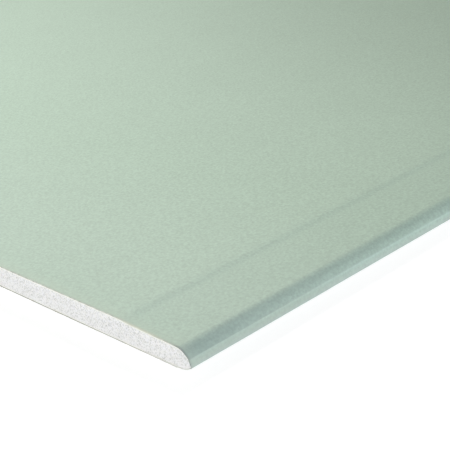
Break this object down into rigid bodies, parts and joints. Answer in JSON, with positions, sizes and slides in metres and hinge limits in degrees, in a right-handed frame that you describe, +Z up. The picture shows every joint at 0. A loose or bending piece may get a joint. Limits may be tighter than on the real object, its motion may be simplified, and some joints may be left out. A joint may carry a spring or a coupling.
{
  "type": "drywall sheet",
  "caption": "Flat moisture-resistant gypsum board with tapered, half-round long edges wrapped in pale green face paper, and square-cut ends.",
  "frame": {"origin": "middle of the back face, which lies on the floor", "axes": "+X across the width, +Y along the length, +Z up through the thickness, from the back face to the green front face"},
  "size_m": [1.25, 2, 0.0125],
  "materials": {
    "gypsum": "matte",
    "green_paper": "matte",
    "grey_paper": "matte"
  },
  "bodies": {
    "root": {"gypsum_core": "gypsum", "face_paper": "green_paper", "back_paper": "grey_paper"}
  },
  "joints": []
}
